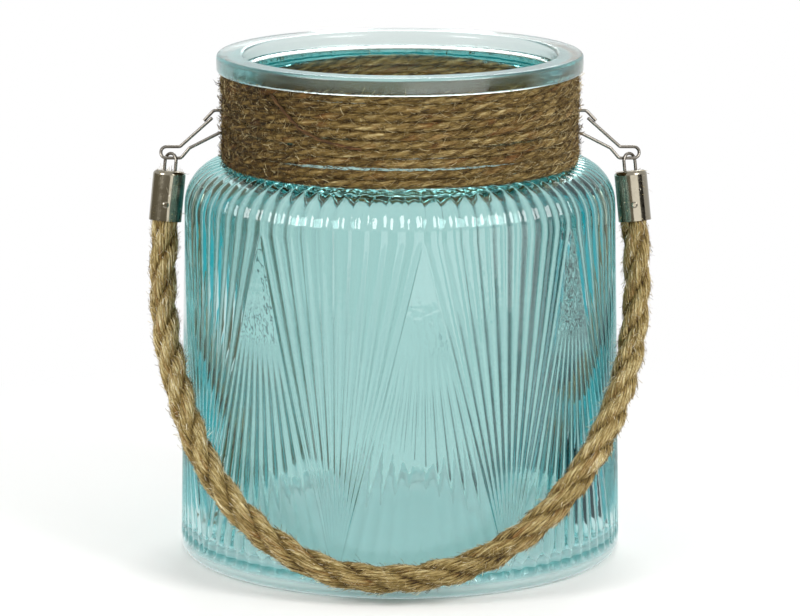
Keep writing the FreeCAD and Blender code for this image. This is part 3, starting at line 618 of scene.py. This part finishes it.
# Fibres lie on their yarn at many angles, and a few stand off it.
run = add(hair_tree, "GeometryNodeInputNamedAttribute", {"Name": "run"}, data_type="FLOAT_VECTOR")
lying = add(hair_tree, "FunctionNodeAxesToRotation",
            {"Primary Axis": spots.outputs["Normal"], "Secondary Axis": run.outputs[0]},
            primary_axis="Z", secondary_axis="X")
most = add(hair_tree, "ShaderNodeCombineXYZ", {"X": HAIR_ROLL, "Y": HAIR_DIP, "Z": HAIR_TURN})
raised = add(hair_tree, "ShaderNodeMath", {0: inlet["Lift"], 1: -1.0}, operation="MULTIPLY")
least = add(hair_tree, "ShaderNodeCombineXYZ", {"X": -HAIR_ROLL, "Y": raised.outputs[0],
                                                "Z": -HAIR_TURN})
spin = add(hair_tree, "FunctionNodeRandomValue", {"Min": least.outputs[0], "Max": most.outputs[0],
                                                  "Seed": inlet["Seed"]}, data_type="FLOAT_VECTOR")
turned = add(hair_tree, "FunctionNodeRotateRotation", {0: lying.outputs[0], 1: spin.outputs[0]},
             rotation_space="LOCAL")
spread = add(hair_tree, "FunctionNodeRandomValue", {2: 0.0, 3: 1.0, "Seed": inlet["Seed"]},
             data_type="FLOAT")
uneven = add(hair_tree, "ShaderNodeMath", {0: spread.outputs[1], 1: 3.0}, operation="POWER")
share = add(hair_tree, "ShaderNodeMapRange", {"Value": uneven.outputs[0], "To Min": 0.45, "To Max": 1.4})
size = add(hair_tree, "ShaderNodeMath", {0: share.outputs[0], 1: inlet["Length"]}, operation="MULTIPLY")
hairs = add(hair_tree, "GeometryNodeInstanceOnPoints",
            {"Points": spots.outputs["Points"], "Instance": hair.outputs[0],
             "Rotation": turned.outputs[0], "Scale": size.outputs[0]})
chance = add(hair_tree, "FunctionNodeRandomValue", {2: 0.0, 3: 1.0, "Seed": 3}, data_type="FLOAT")
tinted = store(hair_tree, hairs.outputs[0], "tint", chance.outputs[1], domain="INSTANCE")
solid = add(hair_tree, "GeometryNodeRealizeInstances", {"Geometry": tinted})
done = add(hair_tree, "GeometryNodeSetMaterial", {"Geometry": solid.outputs[0],
                                                  "Material": inlet["Material"]})
add(hair_tree, "NodeGroupOutput", {0: done.outputs[0]})
print("nodes that scatter hairs:", len(hair_tree.nodes))

# %% Hairs on rope and twine


def fibre(name, shades, bottom_shade_share=0.0):
    made, tree = new_material(name)
    tint = add(tree, "ShaderNodeAttribute", attribute_name="tint")
    place = add(tree, "ShaderNodeTexCoord")
    split = add(tree, "ShaderNodeSeparateXYZ", {"Vector": place.outputs["Object"]})
    # The hairs at the bottom of the rope's loop get the same painted shade as its yarns.
    shade_at_bottom = add(tree, "ShaderNodeMapRange", {"Value": split.outputs["Z"], "From Min": BOTTOM_SHADE_LOW,
                                             "From Max": BOTTOM_SHADE_HIGH, "To Min": -bottom_shade_share, "To Max": 0.0})
    tone = add(tree, "ShaderNodeMath", {0: tint.outputs["Fac"], 1: shade_at_bottom.outputs["Result"]},
               operation="ADD")
    ramp = add(tree, "ShaderNodeValToRGB", {"Fac": tone.outputs[0]})
    stops = ramp.color_ramp.elements
    stops[0].color = colour(shades[0])
    stops[1].color = colour(shades[-1])
    for number, shade in enumerate(shades[1:-1], start=1):
        stops.new(number / (len(shades) - 1)).color = colour(shade)
    straw = add(tree, "ShaderNodeBsdfPrincipled", {"Base Color": ramp.outputs["Color"], "Roughness": 0.6,
                                                   "Specular IOR Level": 0.3})
    add(tree, "ShaderNodeOutputMaterial", {"Surface": straw.outputs[0]})
    return made


# Loose jute fibre: single straw-coloured hairs, a little shiny, each its own shade.
rope_fibre = fibre("Loose_rope_fibre", ["#3f2e10", "#846f3c", "#c0ab75", "#fcf6e0"], bottom_shade_share=0.10)
twine_fibre = fibre("Loose_twine_fibre", ["#1a1104", "#443112", "#7d6534", "#cfbf92"])

# For each set: the cord and its body, hairs to a square metre, the depth and lean past which hairs
# grow, their length and width, their lift off the yarn in radians, their seed and their material. The
# close fuzz comes in two coats, so that no piece gets too many faces.
HAIRS = [
    ("rope_handle_fuzz", rope, "handle", 1.2e6, 3.6, -1.0, 2.2, 0.11, 0.06, 7, rope_fibre),
    ("rope_handle_top_fuzz", rope, "handle", 1.2e6, 3.6, -1.0, 2.2, 0.11, 0.09, 19, rope_fibre),
    ("rope_handle_wisps", rope, "handle", 5.0e4, 4.2, -1.0, 3.4, 0.06, 0.30, 5, rope_fibre),
    ("neck_twine_fuzz", twine, "jar", 1.15e6, 1.1, 0.0, 2.6, 0.14, 0.10, 7, twine_fibre),
    ("neck_twine_top_fuzz", twine, "jar", 1.15e6, 1.1, 0.0, 2.6, 0.14, 0.10, 23, twine_fibre),
    ("neck_twine_wisps", twine, "jar", 6.0e4, 1.4, 0.0, 4.5, 0.08, 0.25, 7, twine_fibre),
]
for name, yarns, body, density, least_mm, outwards, length_mm, width_mm, lift, seed, straw in HAIRS:
    piece = grow(name, yarns, hair_tree, {
        "Density": density, "Least depth": least_mm * MM, "Outwards": outwards, "Lift": lift,
        "Length": length_mm * MM, "Width": width_mm * MM, "Seed": seed, "Material": straw})
    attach(piece, body)

# %% [markdown]
# ## Light behind the glass
# In the mouth the back of the twine shows through the neck. Daylight reaches it through the glass,
# a path the renderer seldom finds, so a small lamp in the neck stands for it. Light linking keeps
# the lamp to the twine and lets it pass the glass.

# %% A lamp for the twine's back
NECK_LAMP_POWER = 0.11
NECK_LAMP_HEIGHT = 132 * MM
NECK_LAMP_SIZE = 20 * MM

neck_lamp = bpy.data.lights.new("neck_lamp", "POINT")
neck_lamp.energy = NECK_LAMP_POWER
neck_lamp.shadow_soft_size = NECK_LAMP_SIZE
neck_holder = show(bpy.data.objects.new("neck_lamp", neck_lamp))
neck_holder.location = (0.0, 0.0, NECK_LAMP_HEIGHT)
neck_holder.visible_glossy = False
neck_holder.visible_transmission = False
lit_twine = bpy.data.collections.new("lit_twine")
lit_twine.objects.link(twine)
neck_holder.light_linking.receiver_collection = lit_twine
neck_holder.light_linking.blocker_collection = lit_twine
print("neck lamp:", NECK_LAMP_POWER, "W")

# %% [markdown]
# ## Pressed glass
# The jar is pressed soda-lime glass, tinted aqua. Glass gets its tint from depth, so part of the
# colour is a volume that absorbs red light: edges, where light runs a long way inside, go dark teal.
# Depth alone would make the thick rim and foot the darkest, and they are the palest, so the rest of
# the colour is in the wall's surface, as if it were sprayed on.

# %% Aqua glass
JAR_HEIGHT = 170
# The jar's inside begins between these radii, and its chilled, rough bottom between these heights.
INSIDE_FROM, INSIDE_FULL = 72.5 * MM, 71.0 * MM
CHILL_FROM, CHILL_FULL = 12 * MM, 8 * MM
CHILL_GRAIN = 0.65
# The frosted band of the foot, and how clear it stays.
FROST_FULL, FROST_FROM = 3.6 * MM, 5.6 * MM
FOOT_CLEAR = 0.45
ABSORPTION = (0.12, 0.79, 0.80, 1.0)
ABSORPTION_DENSITY = 26.0
FOOT_TINT = "#f4f1ef"
# A thin ring of deeper teal is painted where the ribs end, as the shade of their step.
RIB_END_SHADE = "#74b1af"
WALL_TINT = "#d2e8e6"

glass, tree = new_material("Aqua_pressed_glass")
place = add(tree, "ShaderNodeTexCoord")
# Pressed glass keeps the mould's faint orange peel, about 5 mm from crest to crest.
peel = add(tree, "ShaderNodeTexNoise", {"Vector": place.outputs["Object"], "Scale": 1 / (5 * MM),
                                        "Detail": 2.0})
ripple = add(tree, "ShaderNodeBump", {"Height": peel.outputs[0], "Strength": 0.25, "Distance": 0.3 * MM})
height = add(tree, "ShaderNodeSeparateXYZ", {"Vector": place.outputs["Object"]})
level = add(tree, "ShaderNodeMapRange", {"Value": height.outputs["Z"], "From Min": 0.0,
                                         "From Max": JAR_HEIGHT * MM})
stain = add(tree, "ShaderNodeValToRGB", {"Fac": level.outputs["Result"]})
stops = stain.color_ramp.elements
stops[0].color = colour(FOOT_TINT)
stops[1].color = colour("#f4eeec")
# The tint changes with height, in shares of the jar's. The ribs end in a step above the foot, and a thin
# ring of deeper teal is painted there as the step's shade.
for spot, shade in ((0.03, FOOT_TINT), (0.0365, "#eaeeec"), (0.04, RIB_END_SHADE),
                    (0.049, RIB_END_SHADE), (0.056, WALL_TINT), (0.78, WALL_TINT), (0.82, "#e6e9e5")):
    stops.new(spot).color = colour(shade)
# The foot was ground flat and the rim fire-polished over the mould's cold edge, so both are hazy.
haze = add(tree, "ShaderNodeValToRGB", {"Fac": level.outputs["Result"]})
stops = haze.color_ramp.elements
stops[0].color = (0.12, 0.12, 0.12, 1.0)
stops[1].color = (0.25, 0.25, 0.25, 1.0)
for spot, grain in ((0.02, 0.10), (0.03, 0.03), (0.955, 0.03), (0.985, 0.20)):
    stops.new(spot).color = (grain, grain, grain, 1.0)
# The plunger chilled the bottom of the inside, which stays rough and pale.
level = add(tree, "ShaderNodeVectorMath", {0: place.outputs["Object"], 1: (1.0, 1.0, 0.0)},
            operation="MULTIPLY")
radius = add(tree, "ShaderNodeVectorMath", {0: level.outputs[0]}, operation="LENGTH")
inside = add(tree, "ShaderNodeMapRange", {"Value": radius.outputs["Value"], "From Min": INSIDE_FROM,
                                          "From Max": INSIDE_FULL})
low = add(tree, "ShaderNodeMapRange", {"Value": height.outputs["Z"], "From Min": CHILL_FROM,
                                       "From Max": CHILL_FULL, "To Max": CHILL_GRAIN})
chill = add(tree, "ShaderNodeMath", {0: inside.outputs["Result"], 1: low.outputs["Result"]},
            operation="MULTIPLY")
rough = add(tree, "ShaderNodeMath", {0: haze.outputs["Color"], 1: chill.outputs[0]}, operation="MAXIMUM")
# The foot stood on the grinder, which left its outer face frosted and pale.
foot = add(tree, "ShaderNodeMapRange", {"Value": height.outputs["Z"], "From Min": FROST_FULL,
                                        "From Max": FROST_FROM, "To Min": FOOT_CLEAR, "To Max": 1.0})
clear = add(tree, "ShaderNodeMath", {0: foot.outputs["Result"], 1: inside.outputs["Result"]},
            operation="MAXIMUM")
frost = add(tree, "ShaderNodeMapRange", {"Value": clear.outputs[0], "From Min": 1.0,
                                         "From Max": FOOT_CLEAR})
pale = add(tree, "ShaderNodeMix", {"Factor": chill.outputs[0], "A": stain.outputs["Color"],
                                   "B": colour("#ffffff")}, data_type="RGBA")
hue = add(tree, "ShaderNodeMix", {"Factor": frost.outputs["Result"], "A": pale.outputs["Result"],
                                  "B": colour("#d3dddb")}, data_type="RGBA")
melt = add(tree, "ShaderNodeBsdfPrincipled",
           {"Base Color": hue.outputs["Result"], "Roughness": rough.outputs[0], "IOR": 1.5,
            "Transmission Weight": clear.outputs[0], "Normal": ripple.outputs[0]})
tint = add(tree, "ShaderNodeVolumeAbsorption", {"Color": ABSORPTION,
                                                "Density": ABSORPTION_DENSITY})
add(tree, "ShaderNodeOutputMaterial", {"Surface": melt.outputs[0], "Volume": tint.outputs[0]})
print("glass nodes:", len(tree.nodes))

# %% [markdown]
# ## The jar's ribs
# The mould gave the jar eight pairs of fans: one fan spreads upwards from a point at the base, the
# next spreads downwards from a point under the shoulder, and each has ten rounded ribs. A bump map
# can't bend light at the outline, so the ribs are geometry. Columns of faces that follow the fans'
# rays keep every valley sharp with few faces. The mesh is first turned smooth, with the place across
# each rib stored on its points, and a tree then presses the valleys in.

# %% Sizes of the glass
FANS = 8
RIBS = 10
CUTS = 6
FIRST_APEX = 6.0
FAN_ANGLE = 360 / FANS
FAN_LOW = 5.6
FAN_HIGH = 118.0
FAN_ROWS = 44
WALL_LOW = (74.7, 4.0)
WALL_HIGH = (72.6, 119.0)
SHOULDER = (58.1, 119.0, 14.5)
INNER_SHOULDER = 10.9
NECK_RADIUS = 56.25
MOUTH_RADIUS = 52.4
GLASS_WALL = 3.6
JAR_FLOOR = 6
PUNT_HEIGHT = 1.5
RIB_DEPTH = 1.0
# The shares of a fan's length, counted from its point, between which its ribs rise out of the wall,
# and the share of their depth that they have where they are narrowest.
UP_FADE = (0.07, 0.22)
DOWN_FADE = (0.30, 0.50)
POINT_DEPTH = 0.45
# The ribs end in a step, at this share of the fans' height.
FIRST_RISE = 0.006


def wall_radius(height):
    share = (height - WALL_LOW[1]) / (WALL_HIGH[1] - WALL_LOW[1])
    return WALL_LOW[0] + share * (WALL_HIGH[0] - WALL_LOW[0])


def arc(centre_r, centre_z, radius, start, end, pieces):
    """Points of an arc in the jar's profile, by angles in degrees from straight out."""
    angles = [math.radians(start + (end - start) * i / pieces) for i in range(pieces + 1)]
    return [(centre_r + radius * math.cos(a), centre_z + radius * math.sin(a)) for a in angles]


def smooth(value, low, high):
    share = min(max((value - low) / (high - low), 0.0), 1.0)
    return share * share * (3 - 2 * share)


print(f"ribs every {math.tau * WALL_LOW[0] / (FANS * RIBS):.1f} mm round the foot")

# %% Profile rows
# A row is (radius, height, share of the rib depth). Rows below and above the fans have one rib for
# each rib of one set of fans.
below = [(r, PUNT_HEIGHT, 0) for r in (0, 20, 45, 62)]
below += [(64.6, 1.0, 0), (65.7, 0, 0), (70.7, 0, 0)]
below += [(r, z, 0) for r, z in arc(70.7, 4.0, 4.0, -75, 0, 5)]
below += [(wall_radius(5.2), 5.2, 0)]
above = [(r, z, 1.0) for r, z in arc(*SHOULDER, 0, 84, 12)]
above += [(58.1, 133.5, 0.5), (57.2, 133.6, 0.15)]
above += [(r, z, 0) for r, z in arc(57.05, 134.3, 0.8, -100, -180, 4)]
above += [(NECK_RADIUS, z, 0) for z in (145, 155, 163.2)]
above += [(r, z, 0) for r, z in arc(57.05, 163.2, 0.8, 180, 100, 3)]
above += [(r, z, 0) for r, z in arc(60.7, 164.8, 0.8, -90, 0, 5)]
above += [(r, z, 0) for r, z in arc(60.1, 168.6, 1.4, 0, 90, 6)]
above += [(57, JAR_HEIGHT, 0)]
above += [(r, z, 0) for r, z in arc(54.4, 168, 2, 90, 180, 6)]
above += [(MOUTH_RADIUS, z, 0) for z in (160, 150, 140)]
above += [(r, z, 0) for r, z in arc(56.4, 133.9, 4.0, 180, 270, 6)]
above += [(r, z, 0) for r, z in arc(SHOULDER[0], SHOULDER[1], INNER_SHOULDER, 88, 0, 9)]
above += [(wall_radius(z) - GLASS_WALL, z, 0) for z in (105, 90, 75, 60, 45, 30, 18)]
above += [(r, z, 0) for r, z in arc(65.1, 12, 6.0, 0, -90, 6)]
above += [(r, JAR_FLOOR, 0) for r in (45, 20, 0)]
print("profile rows:", len(below) + FAN_ROWS + len(above))

# %% The jar's mesh
columns = FANS * RIBS * CUTS
column_angle = 360 / columns
points, faces, depths, crossings = [], [], [], []


def put(angle, radius, height, share, across):
    turn = math.radians(angle)
    points.append((radius * math.sin(turn) * MM, -radius * math.cos(turn) * MM, height * MM))
    depths.append(share)
    crossings.append(across)
    return len(points) - 1


def across_rib(cut):
    return abs(2 * (cut % CUTS) / CUTS - 1)


def plain_row(radius, height, share):
    if radius == 0:
        return [put(0, 0, height, 0, 0)] * columns
    return [put(FIRST_APEX + j * column_angle, radius, height, share, across_rib(j))
            for j in range(columns)]


def bridge(low, high):
    for here in range(len(low)):
        after = (here + 1) % len(low)
        loop = list(dict.fromkeys((low[here], low[after], high[after], high[here])))
        if len(loop) > 2:
            faces.append(loop)


# %% Rows below the fans
fan_cuts = RIBS * CUTS
rows = [plain_row(*row) for row in below]
for low, high in zip(rows, rows[1:]):
    bridge(low, high)
base_row = plain_row(wall_radius(FAN_LOW), FAN_LOW, 0)
bridge(rows[-1], base_row)
top_row = plain_row(wall_radius(FAN_HIGH), FAN_HIGH, 1.0)
print("points below the fans:", len(points))

# %% Rows of the fans


def rib_share(way, fade):
    return smooth(way, *fade) * (POINT_DEPTH + (1 - POINT_DEPTH) * way)


def fan_row(rise):
    """One row of points through the fans, at a rise of 0 at their foot to 1 at their top."""
    height = FAN_LOW + rise * (FAN_HIGH - FAN_LOW)
    radius = wall_radius(height)
    row = []
    up_share = rib_share(rise, UP_FADE)
    down_share = rib_share(1 - rise, DOWN_FADE)
    edge_share = max(up_share, down_share)
    for fan in range(FANS):
        top_apex = FIRST_APEX + (fan + 1) * FAN_ANGLE
        low_apex = FIRST_APEX + (fan + 0.5) * FAN_ANGLE
        for cut in range(fan_cuts):
            head = FIRST_APEX + fan * FAN_ANGLE + cut * column_angle
            row.append(put(low_apex + (head - low_apex) * rise, radius, height,
                           up_share if cut else edge_share, across_rib(cut)))
        for cut in range(fan_cuts):
            foot = low_apex + cut * column_angle
            row.append(put(top_apex + (foot - top_apex) * (1 - rise), radius, height,
                           down_share if cut else edge_share, across_rib(cut)))
    return row


def spread_row(row, top):
    """The plain row's points in the fans' order: a fan that has shrunk to a point repeats it."""
    order = []
    for fan in range(FANS):
        start = fan * fan_cuts
        if top:
            order += [row[(start + cut) % columns] for cut in range(fan_cuts)]
            order += [row[(start + fan_cuts) % columns]] * fan_cuts
        else:
            order += [row[(start + fan_cuts // 2) % columns]] * fan_cuts
            order += [row[(start + fan_cuts // 2 + cut) % columns] for cut in range(fan_cuts)]
    return order


rises = [FIRST_RISE] + [(i + 1) / FAN_ROWS for i in range(FAN_ROWS - 1)]
fan_rows = [fan_row(rise) for rise in rises]
fan_rows = [spread_row(base_row, False)] + fan_rows + [spread_row(top_row, True)]
for low, high in zip(fan_rows, fan_rows[1:]):
    bridge(low, high)
rows = [top_row] + [plain_row(*row) for row in above]
for low, high in zip(rows, rows[1:]):
    bridge(low, high)

smooth_jar = bpy.data.meshes.new("smooth_jar")
smooth_jar.from_pydata(points, [], faces)
for name, values in (("rib_depth", depths), ("rib_across", crossings)):
    smooth_jar.attributes.new(name, "FLOAT", "POINT").data.foreach_set("value", values)
print("jar points:", len(points), "faces:", len(faces))

# %% Press the ribs
rib_tree, inlet = new_tree("Pressed ribs", [("Rib depth", "Float"), ("Material", "Material")])
share = add(rib_tree, "GeometryNodeInputNamedAttribute", {"Name": "rib_depth"}, data_type="FLOAT")
across = add(rib_tree, "GeometryNodeInputNamedAttribute", {"Name": "rib_across"}, data_type="FLOAT")
# A rounded rib falls away with the square of the way across it, and leaves a sharp valley.
fall = add(rib_tree, "ShaderNodeMath", {0: across.outputs[0], 1: 2.0}, operation="POWER")
deep = add(rib_tree, "ShaderNodeMath", {0: fall.outputs[0], 1: share.outputs[0]}, operation="MULTIPLY")
inward = add(rib_tree, "ShaderNodeMath", {0: deep.outputs[0], 1: inlet["Rib depth"]}, operation="MULTIPLY")
negative = add(rib_tree, "ShaderNodeMath", {0: inward.outputs[0], 1: -1.0}, operation="MULTIPLY")
facing = add(rib_tree, "GeometryNodeInputNormal").outputs[0]
move = add(rib_tree, "ShaderNodeVectorMath", {0: facing, "Scale": negative.outputs[0]}, operation="SCALE")
pressed = add(rib_tree, "GeometryNodeSetPosition", {"Geometry": inlet["Geometry"],
                                                    "Offset": move.outputs[0]})
even = add(rib_tree, "GeometryNodeSetShadeSmooth", {"Geometry": pressed.outputs[0]})
solid = add(rib_tree, "GeometryNodeRealizeInstances", {"Geometry": even.outputs[0]})
done = add(rib_tree, "GeometryNodeSetMaterial", {"Geometry": solid.outputs[0],
                                                 "Material": inlet["Material"]})
add(rib_tree, "NodeGroupOutput", {0: done.outputs[0]})

jar_source = show(bpy.data.objects.new("jar_source", smooth_jar))
jar = grow("ribbed_glass_jar", jar_source, rib_tree, {"Rib depth": RIB_DEPTH * MM, "Material": glass},
           spare=("rib_depth", "rib_across"))
bpy.data.objects.remove(jar_source)
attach(jar, "jar")
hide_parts("glass_jar")

# %% [markdown]
# ## Metal
# The ferrules are drawn nickel-plated cups, bright with a few soft dents from crimping, and the
# wires are tinned steel, a little duller.

# %% Nickel and wire


def metal(name, tone, roughness, dent_mm, strength):
    made, tree = new_material(name)
    place = add(tree, "ShaderNodeTexCoord")
    dents = add(tree, "ShaderNodeTexNoise", {"Vector": place.outputs["Object"],
                                             "Scale": 1 / (dent_mm * MM)})
    haze = add(tree, "ShaderNodeMapRange", {"Value": dents.outputs[0], "To Min": roughness * 0.6,
                                            "To Max": roughness * 1.5})
    bump = add(tree, "ShaderNodeBump", {"Height": dents.outputs[0], "Strength": strength,
                                        "Distance": 0.2 * MM})
    bright = add(tree, "ShaderNodeBsdfPrincipled",
                 {"Base Color": colour(tone), "Metallic": 1.0, "Roughness": haze.outputs["Result"],
                  "Normal": bump.outputs[0]})
    add(tree, "ShaderNodeOutputMaterial", {"Surface": bright.outputs[0]})
    return made


# Nickel plate: bright and warm grey, with soft dents that break up its highlights.
nickel = metal("Nickel_plate", "#8b8576", 0.16, 2.5, 0.15)
# Tinned steel wire: a little greyer and duller, and more finely uneven.
tinned = metal("Tinned_steel_wire", "#7d7870", 0.26, 1.0, 0.2)
for name, finish in (("left_ferrule", nickel), ("right_ferrule", nickel), ("left_rivet", nickel),
                     ("right_rivet", nickel), ("left_eye", tinned), ("right_eye", tinned),
                     ("back_wire", tinned), ("front_wire", tinned)):
    for slot in nodes[name].material_slots:
        slot.material = finish
    print(name, "is", finish.name)
